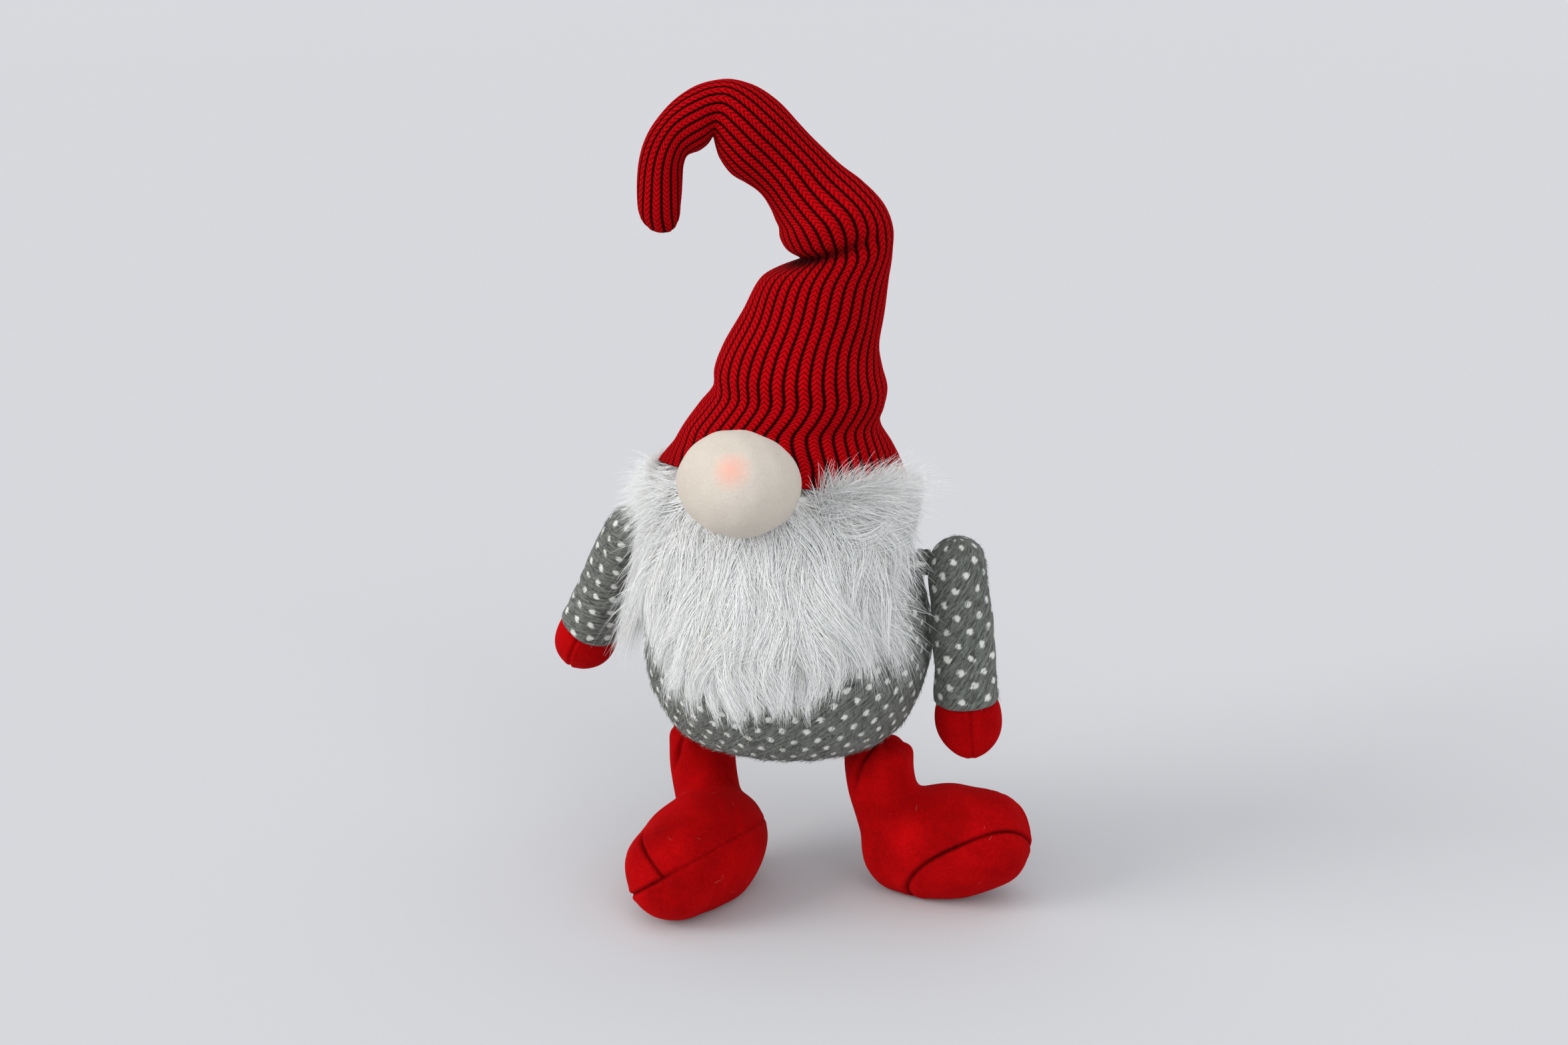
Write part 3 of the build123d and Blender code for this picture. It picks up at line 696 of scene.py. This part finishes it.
def build_arm(label):
    arm = ARMS[label]
    at, d, e1, e2 = arm_frame(arm)
    rows, cols = ((120, 150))
    prof = curve_through(
        [(-18.4, 0.4), (-16.5, 8.5), (-10, 15.5), (0, 18.3), (20, 18.8), (45, 18.6), (70, 19.4), (86, 20.6),
         (89.5, 20.3), (90.5, 19.0), (88, 17.6)], rows
    )
    a, r, t = spin(prof[:, 1], prof[:, 0], cols)
    grid = at + t[..., None] * d + r[..., None] * (np.cos(a)[..., None] * e1 + np.sin(a)[..., None] * e2)
    out = np.cos(a)[..., None] * e1 + np.sin(a)[..., None] * e2
    grid += out * ((0.9 * lumps(grid, 24, 9) + 0.4 * lumps(grid, 10, 1)) * smooth(-12, 0, t))[..., None]
    s = run_length(prof)
    uu, vv = np.meshgrid(np.linspace(0, FULL_TURN, cols + 1) * SLEEVE_RADIUS, s)
    if label == "right":
        # this sleeve was cut on a slant
        uu, vv = 0.87 * uu - 0.5 * vv, 0.5 * uu + 0.87 * vv
    sleeve = tube(f"sleeve_cloth_{label}", grid, np.stack([uu, vv], -1), cap_start=True)
    dress(sleeve, MARL_SLEEVE, f"arm_{label}", [f"sleeve_{label}", f"arm_filling_{label}"])

    # mitten: a flat-sided paddle with one seam down the front and one down the back
    rows, cols = ((110, 180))
    prof = curve_through(
        [(84, 16.5), (89, 18.6), (94, 20.6), (101, 21.4), (108, 20.9), (114, 19.2), (119.5, 16.2),
         (124.5, 11.6), (128, 6.0), (129.3, 0.4)], rows
    )
    a, r, t = spin(prof[:, 1], prof[:, 0], cols)
    wide = unit(ACROSS - (ACROSS @ d) * d)
    thick = np.cross(wide, d)
    shape = np.cos(a)[..., None] * wide + 0.88 * np.sin(a)[..., None] * thick
    grid = at + t[..., None] * d + r[..., None] * shape
    out = unit(shape)
    # the seams lie at the front and back of the hand
    shift = arm["seam"]
    to_front = np.abs(np.angle(np.exp(1j * (a - math.pi / 2 - shift))))
    to_back = np.abs(np.angle(np.exp(1j * (a + math.pi / 2 - shift))))
    near = np.minimum(to_front, to_back)
    groove = np.exp(-((near * r / 0.9) ** 2)) * -1.5 + np.exp(-(((near * r - 2.6) / 1.6) ** 2)) * 0.35
    pucker = 0.25 * np.sin(t / 1.1) * np.exp(-((near * r / 3.0) ** 2))
    grid += out * (groove + pucker + 0.5 * lumps(grid, 16, 3))[..., None]
    mitten = tube(f"mitten_{label}", grid, cap_start=True, cap_end=True)
    halves = [f"mitten_outer_{label}", f"mitten_inner_{label}"]
    dress(mitten, RED_FLEECE, f"arm_{label}", halves)

    # gathered seam between body and sleeve
    lo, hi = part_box(f"shoulder_seam_{label}")
    lo, hi = np.array(lo) * 1000 - SHIFT, np.array(hi) * 1000 - SHIFT
    mid = (lo + hi) / 2
    half = (hi[0] - lo[0]) / 2
    cols = 72
    ang = np.linspace(0, FULL_TURN, cols, endpoint=False)
    prof = [(-1.0, 0.5), (-1.0, 6.0), (-0.7, 8.2), (0, 7.4), (0.7, 8.2), (1.0, 6.0), (1.0, 0.5)]
    rings = []
    for x, rad in curve_through(prof, 26):
        wave = 1 + 0.07 * np.cos(ang * 12) * (rad > 4)
        ring = [np.full(cols, x * half), rad * wave * np.cos(ang), rad * wave * np.sin(ang)]
        rings.append(mid + np.stack(ring, 1))
    uu, vv = np.meshgrid(np.linspace(0, 50, cols + 1), np.linspace(0, 12, 26))
    cloth = np.stack([uu, vv], -1)
    seam = tube(f"shoulder_gather_{label}", np.array(rings), cloth, cap_start=True, cap_end=True)
    dress(seam, MARL_SLEEVE, f"shoulder_{label}", [f"shoulder_seam_{label}"])


# ---------------------------------------------------------------- legs and boots
LEGS = {
    "left": dict(
        hip=(63, 3, 76), heel=(53, 12.5, 22.5), toe=(162, 0.5, 48.5), sole=(-0.479, 0.659, 0.58, -49.3),
        front=(0.25, 0.9, -0.3, 35.0),
    ),
    "right": dict(
        hip=(-60, 1, 76), heel=(-36, 9, 31), toe=(-53, -113, 32.5), sole=(-0.56, 0.162, 0.813, 40.0),
        front=(0.639, 0.166, 0.751, -17.4),
    ),
}


def round_along(a, b, ra, rb, rm=None, rows=60, cols=72):
    """Blunt capsule from a to b (its two extreme points)."""
    a, b = np.asarray(a, float), np.asarray(b, float)
    d = unit(b - a)
    length = np.linalg.norm(b - a)
    rm = rm or (ra + rb) / 2
    prof = [(0, 0.3), (ra * 0.12, ra * 0.48), (ra * 0.4, ra * 0.8), (ra, ra), (length / 2, rm),
            (length - rb, rb), (length - rb * 0.4, rb * 0.8), (length - rb * 0.12, rb * 0.48), (length, 0.3)]
    prof = curve_through(prof, rows)
    e1 = unit(np.cross(d, UP if abs(d[2]) < 0.9 else ACROSS))
    e2 = np.cross(d, e1)
    aa, r, t = spin(prof[:, 1], prof[:, 0], cols)
    return a + t[..., None] * d + r[..., None] * (np.cos(aa)[..., None] * e1 + np.sin(aa)[..., None] * e2)


def leg_tube(hip, ankle, rows=60, cols=72):
    """Tube from a flat gathered top, close under the body, down into the foot."""
    path = curve_through([(hip[0], hip[1], 104), hip, (ankle[0], ankle[1], 18)], rows)
    t = np.linspace(0, 1, rows)
    radius = 22.8 * (1 - (1 - smooth(0, 0.13, t)) ** 3 * 0.55) + 1.5 * smooth(0.5, 1, t)
    radius[0] = 1.0
    ang = np.linspace(0, FULL_TURN, cols, endpoint=False)
    ring = np.stack([np.cos(ang), np.sin(ang), 0 * ang], 1)
    return path[:, None, :] + radius[:, None, None] * ring[None]


def build_leg(label):
    leg = LEGS[label]
    hip, heel, toe = (np.array(leg[k], float) for k in ("hip", "heel", "toe"))
    ankle = heel + (toe - heel) * 0.25
    beyond = 1.2 * unit(toe - heel)
    parts = [
        tube("w1", round_along(heel - beyond, toe + beyond, 35, 34, 38), cap_start=True, cap_end=True),
        tube("w2", leg_tube(hip, ankle), cap_start=True, cap_end=True),
    ]
    bpy.context.view_layer.update()
    for o in bpy.context.selected_objects:
        o.select_set(False)
    for o in parts:
        o.select_set(True)
    bpy.context.view_layer.objects.active = parts[0]
    bpy.ops.object.join()
    obj = parts[0]
    obj.name = f"boot_{label}"
    remesh = obj.modifiers.new("r", "REMESH")
    remesh.mode = "VOXEL"
    remesh.voxel_size = 0.0022
    smoother = obj.modifiers.new("s", "SMOOTH")
    smoother.factor = 0.6
    smoother.iterations = 22
    sub = obj.modifiers.new("d", "SUBSURF")
    sub.levels = sub.render_levels = 1
    dg = bpy.context.evaluated_depsgraph_get()
    mesh = bpy.data.meshes.new_from_object(obj.evaluated_get(dg))
    obj.modifiers.clear()
    old = obj.data
    obj.data = mesh
    bpy.data.meshes.remove(old)
    mesh.name = f"boot_{label}"
    p, nrm = surface_points(obj)
    return obj, mesh, p, nrm, hip, heel, toe


def finish_leg(label):
    leg = LEGS[label]
    obj, mesh, p, nrm, hip, heel, toe = build_leg(label)
    d = unit(toe - heel)
    length = np.linalg.norm(toe - heel)
    flat = unit(np.array((d[0], d[1], 0)))
    lateral = np.cross(UP, flat)
    rel = p - heel
    along = rel @ d
    across = rel @ lateral
    move = np.zeros(len(p))
    # soft swelling, gentle hollows
    move += 0.8 * lumps(p, 34, 2) + 0.3 * lumps(p, 13, 5)
    # the sole is sewn in along a line that climbs round the toe
    n = np.array(leg["sole"][:3])
    height = p @ n - leg["sole"][3]
    low = smooth(74, 62, p[:, 2])
    sole = np.exp(-((height / 1.1) ** 2)) * low
    ridge = (np.exp(-(((height - 3.0) / 2.0) ** 2)) + np.exp(-(((height + 3.0) / 2.0) ** 2))) * low
    pucker = 0.35 * np.sin(along * 1.1 + across * 0.9) * np.exp(-((height / 3.5) ** 2)) * low
    faint = 1 - 0.7 * smooth(0, 16, across) if label == "right" else np.ones(len(p))
    sole = sole * faint
    move += -1.7 * sole + 0.4 * ridge * faint + 0.7 * pucker
    # short seam over the toe, down to the sole
    n = np.array(leg["front"][:3])
    side = p @ n - leg["front"][3]
    over_toe = smooth(length * 0.74, length * 0.86, along)
    front = np.exp(-((side / 1.1) ** 2)) * smooth(-0.5, 1.5, height) * over_toe
    beside = 0.4 * np.exp(-(((np.abs(side) - 3.0) / 1.8) ** 2)) * smooth(0, 3, height) * over_toe
    move += -1.9 * front + beside
    # folds where the foot meets the leg, and where the leg is gathered under the body
    fold = p[:, 2] - 66 + 0.5 * (along - 45)
    instep = smooth(38, 62, along) * smooth(112, 92, along)
    move -= 1.6 * np.exp(-((fold / 3.0) ** 2)) * instep * (1 + 0.5 * lumps(p, 18, 6))
    around = np.arctan2(p[:, 1] - hip[1], p[:, 0] - hip[0])
    upper = smooth(66, 84, p[:, 2])
    to_crease = np.abs(np.angle(np.exp(1j * (around + 2.15 - 0.012 * (p[:, 2] - 80)))))
    crease = np.exp(-((to_crease * 22 / 2.4) ** 2))
    gathers = np.sin(around * 7 + 0.05 * p[:, 2] + hip[0]) * 0.8 * smooth(78, 97, p[:, 2])
    move += upper * (-3.0 * crease) + gathers
    # small dimples over the toe
    dimple = np.sin(along * 0.55 + across * 0.2) * np.sin(along * 0.21 + across * 0.12 + 1)
    move += -0.7 * np.clip(dimple, 0, 1) ** 2 * smooth(0.6, 0.9, along / length) * smooth(6, 16, height)
    # painted shade on the boots: darker where the fleece faces up and toward the front, along the sole and
    # toe seams, and in the crease under the body
    facing_shade = np.clip(nrm @ unit(np.array((0.05, -0.8, 0.6))), 0, 1) ** 2 * (0.55 + 0.6 * lumps(p, 20, 9))
    painted_shade = np.clip(0.85 * sole + 0.85 * front + 0.34 * np.clip(facing_shade, 0, 1) + 0.4 * upper * crease, 0, 1)
    p = p + nrm * move[:, None]
    # it stands on the floor: the lowest part is pressed flat
    p[:, 2] = 0.5 * (p[:, 2] + np.sqrt(p[:, 2] ** 2 + 1.4))
    mesh.vertices.foreach_set("co", row(p).astype(np.float32).ravel())
    mesh.update()
    mesh.polygons.foreach_set("use_smooth", np.ones(len(mesh.polygons), bool))
    mesh.attributes.new("painted_shade", "FLOAT", "POINT").data.foreach_set("value", painted_shade.astype(np.float32))
    mesh.materials.clear()
    dress(
        obj, RED_FLEECE, f"leg_{label}",
        [f"boot_front_side_{label}", f"boot_back_side_{label}", f"boot_sole_{label}", f"leg_filling_{label}"],
    )
    return obj, p, nrm


# ---------------------------------------------------------------- beard
BEARD_SPREAD = math.radians(66)


def beard_surface(phi, z, off):
    """Point in front of the body: phi from straight ahead (-Y), off mm from the cloth."""
    r = torso_radius(np.clip(z, 110, 272)) + off
    # on the figure's left the beard hangs a little narrower than at the hem
    phi = np.where(phi > 0, phi * (1 - 0.14 * smooth(262, 232, z)), phi)
    return np.stack([r * np.sin(phi), -r * np.cos(phi), z], -1)


def beard_bottom(phi):
    """Height of the beard's lower edge; lowest a little to the figure's left of the middle."""
    x = np.degrees(phi)
    return 160 + 0.026 * np.minimum(np.abs(x - 6), 46) ** 2 + 4 * np.sin(x * 0.23) + 4 * np.sin(x * 0.51 + 1)


def build_beard_base():
    rows, cols = 60, 120
    phi = np.linspace(-BEARD_SPREAD, BEARD_SPREAD, cols)
    t = np.linspace(0, 1, rows)
    pp, tt = np.meshgrid(phi, t)
    bottom = beard_bottom(pp) + 22
    z = 284 + (bottom - 284) * tt
    edge = smooth(1.0, 0.82, np.abs(pp) / BEARD_SPREAD)
    thick = (4 + 9 * smooth(0, 0.25, tt)) * smooth(1.0, 0.7, tt) * edge + 0.6
    front = beard_surface(pp, z, thick)
    tufts = 1.2 * lumps(front * np.array((1, 1, 0.3)), 16, 4) * edge
    front += unit(front * np.array((1, 1, 0))) * tufts[..., None]
    back = beard_surface(pp, z, np.full_like(z, 0.3))
    ring = np.concatenate([front, back[:, ::-1]], 1)
    obj = tube("beard_backing_cloth", ring, cap_start=True, cap_end=True)
    return dress(obj, PILE_BASE, "torso", ["beard_backing"])


def nose_reach(rel, width):
    """How far out a point lies from the nose's middle; 1 is an oval just outside the nose."""
    return np.sqrt((rel[..., 0] / width) ** 2 + (rel[..., 1] / 35) ** 2 + (rel[..., 2] / 34) ** 2)


def build_beard():
    """Locks that follow one flow: outward beside the nose, then down; their hairs gather toward the tips."""
    r = np.random.default_rng(5)
    locks = 950
    each = 31
    steps = 9
    phi0 = r.uniform(-BEARD_SPREAD, BEARD_SPREAD, locks)
    floor = beard_bottom(phi0)
    z0 = floor + 20 + (286 - floor - 20) * r.uniform(0, 1, locks) ** 0.8
    lean = r.normal(0, 0.22, locks)
    length = r.uniform(46, 84, locks)
    length = np.minimum(length, z0 - floor + r.uniform(2, 17, locks))
    phi, z = phi0.copy(), z0.copy()
    path_phi, path_z = [phi.copy()], [z.copy()]
    for k in range(steps - 1):
        t = k / (steps - 2)
        side = phi / BEARD_SPREAD
        turn = 1.75 * side * smooth(214, 286, z) + 0.16 * side
        turn = turn + lean * (1 + 0.6 * math.sin(3.2 * t))
        turn = turn + 0.34 * lumps(np.stack([phi * 90, z, 0 * z], 1), 26, 3)
        step = length / (steps - 1)
        phi = phi + np.sin(turn) * step / 100
        z = z - np.cos(turn) * step
        path_phi.append(phi.copy())
        path_z.append(z.copy())
    path_phi, path_z = np.stack(path_phi, 1), np.stack(path_z, 1)
    pick = np.repeat(np.arange(locks), each)
    n = len(pick)
    t = np.linspace(0, 1, steps)[None, :]
    gather = 1 - 0.8 * t**1.15
    dp = (r.normal(0, 5.2, n) / 100)[:, None] * gather
    dz = r.normal(0, 5.0, n)[:, None] * gather
    stretch = r.uniform(0.8, 1.12, n)[:, None]
    ph = path_phi[pick] + dp
    z = z0[pick][:, None] + (path_z[pick] - z0[pick][:, None]) * stretch + dz
    ph = ph + 0.012 * np.sin(t * r.uniform(3, 9, n)[:, None] + r.uniform(0, 6.28, n)[:, None]) * t
    edge = smooth(1.25, 0.7, np.abs(phi0) / BEARD_SPREAD)[pick][:, None]
    height = np.clip((z0 - floor) / 90, 0, 1)[pick][:, None]
    raise_by = r.uniform(-2, 5, locks)[pick][:, None]
    swell = 1 - np.exp(-3.0 * t * (length[pick][:, None] / 70))
    off = 1.5 + (9 + 13 * height + raise_by) * swell * (0.4 + 0.6 * edge)
    off = off + r.uniform(-2.5, 3, n)[:, None] * t - 6.5 * t**3 * (0.4 + 0.6 * height)
    off = off + 1.1 * np.sin(t * 5 + r.uniform(0, 6.28, n)[:, None])
    paths = beard_surface(ph, z, np.maximum(off, 0.6))
    # hairs under the nose part round it
    rel = paths - NOSE
    q = nose_reach(rel, 39.5)
    push = np.clip(1.0 - q, 0, 1)[..., None]
    paths = paths + unit(rel * np.array((1, 0.4, 1))) * push * 34
    # and none stands up through the hem
    fine = (paths[..., 2] < 292).all(1)
    paths, pick, n = paths[fine], pick[fine], int(fine.sum())
    width = r.uniform(0.36, 0.66, n)
    tone = r.choice(4, n, p=HAIR_SHARES)
    outward = np.stack([np.sin(phi0), -np.cos(phi0), 0.15 + 0 * phi0], -1)[pick]
    obj = strands("beard_hair", paths, width, tone, outward)
    return dress(obj, list(HAIR), "torso", ["beard_pile"])


def build_wisps():
    """Loose hair that fans out at the beard's edges, over the hem and over both sleeves."""
    r = np.random.default_rng(8)
    groups = [
        # from angle to angle (degrees), height range, outward, sideways, upward, length range, count
        (30, 69, 268, 285, 0.5, (-0.3, 0.8), (0.4, 1.3), (24, 50), 1700),
        (-72, -34, 262, 285, 0.5, (0.1, 1.0), (-0.5, 0.5), (16, 36), 1700),
        (-72, -46, 200, 266, 0.35, (0.3, 0.9), (-1.5, -0.6), (24, 44), 2200),
        (48, 70, 200, 266, 0.35, (0.2, 0.8), (-1.4, -0.4), (20, 38), 1500),
        (-30, 44, 232, 262, 0.35, (-0.5, 0.5), (-1.2, -0.6), (18, 34), 700),
    ]
    every = []
    for low, high, z_low, z_high, out, side_range, up_range, size, count in groups:
        count = int(count * (1.0))
        phi = np.radians(r.uniform(low, high, count))
        z0 = r.uniform(z_low, z_high, count)
        root = beard_surface(phi, z0, 5 + r.uniform(0, 9, count))
        outward = np.stack([np.sin(phi), -np.cos(phi), 0 * phi], -1)
        tangent = np.stack([np.cos(phi), np.sin(phi), 0 * phi], -1) * np.sign(low + high)
        # neighbours lean the same way, in small tufts
        tuft = lumps(root, 9, 2)[:, None]
        d = outward * out + tangent * (r.uniform(*side_range, count)[:, None] + 0.35 * tuft)
        d = unit(d + UP * (r.uniform(*up_range, count)[:, None] + 0.35 * np.roll(tuft, 7)))
        length = r.uniform(*size, count)
        t = np.linspace(0, 1, 6)
        bend = -0.3 * t**2
        paths = root[:, None, :] + d[:, None, :] * (length[:, None] * t)[..., None]
        paths = paths + UP * (length[:, None] * bend)[..., None]
        every.append((paths, outward))
    paths = np.concatenate([e[0] for e in every])
    outward = np.concatenate([e[1] for e in every])
    rel = paths - NOSE
    q = nose_reach(rel, 39)
    keep = q.min(1) > 1.0
    paths, outward = paths[keep], outward[keep]
    n = len(paths)
    width = r.uniform(0.22, 0.48, n)
    tone = r.choice(4, n, p=HAIR_SHARES)
    obj = strands("beard_wisps", paths, width, tone, outward)
    return dress(obj, list(HAIR), "torso")


# ---------------------------------------------------------------- brushed fuzz and lint
def fuzz(name, points, normals, flow, count, length, width, mats, body, seed, stand=0.45):
    r = np.random.default_rng(seed)
    pick = r.choice(len(points), count)
    p0 = points[pick]
    n0 = unit(normals[pick])
    f = flow + r.normal(0, 0.35, (count, 3))
    f = unit(f - (f * n0).sum(-1, keepdims=True) * n0)
    steps = 3
    t = np.linspace(0, 1, steps)
    reach = r.uniform(*length, count)[:, None, None]
    along = t[None, :, None] * f[:, None] + stand * (t**0.8)[None, :, None] * n0[:, None]
    paths = p0[:, None] + reach * along
    paths = paths - n0[:, None] * 0.3
    obj = strands(name, paths, r.uniform(*width, count), r.choice(len(mats), count), n0, 0.85)
    return dress(obj, list(mats), body)


# ---------------------------------------------------------------- put it together
torso = build_torso()
head = build_head()
build_nose()
hat = build_hat()
tuck_head(head, hat[0][0])
for side in ARMS:
    build_arm(side)
boots = {side: finish_leg(side) for side in LEGS}
build_beard_base()
build_beard()
build_wisps()

factor = 1.0
points, normals = surface_points(torso)
ok = (points[:, 2] > 101) & (points[:, 2] < 262)
brushed = np.array((-0.5, 0, -0.8))
fuzz("torso_fuzz", points[ok], normals[ok], brushed, int(9000 * factor), (3, 6.5), (0.22, 0.42),
     FUZZ_GREY, "torso", 21, 0.3)
for side in ARMS:
    # these are the CAD sleeve's points, a little under the drawn cloth: over half the hairs stay hidden
    points, normals = surface_points(bpy.data.objects[f"sleeve_{side}"])
    fuzz(f"sleeve_fuzz_{side}", points, normals, brushed, int(2600 * factor), (2.5, 5.5),
         (0.2, 0.4), FUZZ_GREY, f"arm_{side}", 22, 0.3)
    p, nr = boots[side][1:]
    keep = (p[:, 2] > 4) & (p[:, 2] < 88)
    fuzz(f"boot_lint_{side}", p[keep], nr[keep], np.array((0.3, 0, 0.6)), 14, (2.5, 7),
         (0.12, 0.2), LINT, f"leg_{side}", 23, 0.25)

for obj, nodes in hat:
    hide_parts(*nodes)


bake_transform(hat[0][0])
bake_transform(hat[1][0])
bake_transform(hat[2][0])

# ---------------------------------------------------------------- floor, light, camera
bpy.ops.mesh.primitive_plane_add(size=60, location=(0, 0, 0))
floor = bpy.context.object
floor.name = "floor"
m, t, p = material("floor_paint")
grain = noise(t, None, 3.0, 2.0)
paint = mix(t, remap(t, grain, 0.3, 0.7), (0.585, 0.593, 0.612), (0.603, 0.611, 0.63))
t.links.new(paint, p.inputs["Base Color"])
p.inputs["Roughness"].default_value = 0.9
p.inputs["Specular IOR Level"].default_value = 0.1
floor.data.materials.append(m)

world = bpy.data.worlds.new("studio")
bpy.context.scene.world = world
world.use_nodes = True
world.node_tree.nodes["Background"].inputs[0].default_value = (0.96, 0.97, 1.0, 1)
world.node_tree.nodes["Background"].inputs[1].default_value = 0.70


def sun(name, toward, strength, angle, colour=(1, 1, 1)):
    light = bpy.data.lights.new(name, "SUN")
    light.energy = strength
    light.angle = math.radians(angle)
    light.color = colour
    obj = bpy.data.objects.new(name, light)
    bpy.context.scene.collection.objects.link(obj)
    obj.rotation_euler = Vector(toward).to_track_quat("-Z", "Y").to_euler()
    return obj


sun("key_left", (0.9, 0.66, -0.5), 1.75, 36, (1.0, 0.985, 0.96))
sun("fill_right", (-0.6, 0.9, -0.42), 1.05, 55, (0.96, 0.98, 1.0))
sun("top_soft", (0.05, 0.25, -1.0), 0.45, 70)

view = bpy.context.scene.view_settings
view.view_transform = "Standard"
view.look = "None"

cam_data = bpy.data.cameras.new("camera")
cam_data.lens = 50
cam_data.sensor_width = 36
cam_data.clip_end = 100
cam = bpy.data.objects.new("camera", cam_data)
bpy.context.scene.collection.objects.link(cam)
CAMERA_DISTANCE = 1400
tilt = math.radians(16)
back = np.array((math.sin(TURN) * math.cos(tilt), -math.cos(TURN) * math.cos(tilt), math.sin(tilt)))
upward = np.cross(back, ACROSS)
where = row(np.array((0, 0, 246.0)) - 2.5 * ACROSS + CAMERA_DISTANCE * back)
cam.matrix_world = Matrix(
    [[ACROSS[i], upward[i], back[i], where[i]] for i in range(3)] + [[0, 0, 0, 1]]
)
bpy.context.scene.camera = cam

bpy.context.view_layer.update()
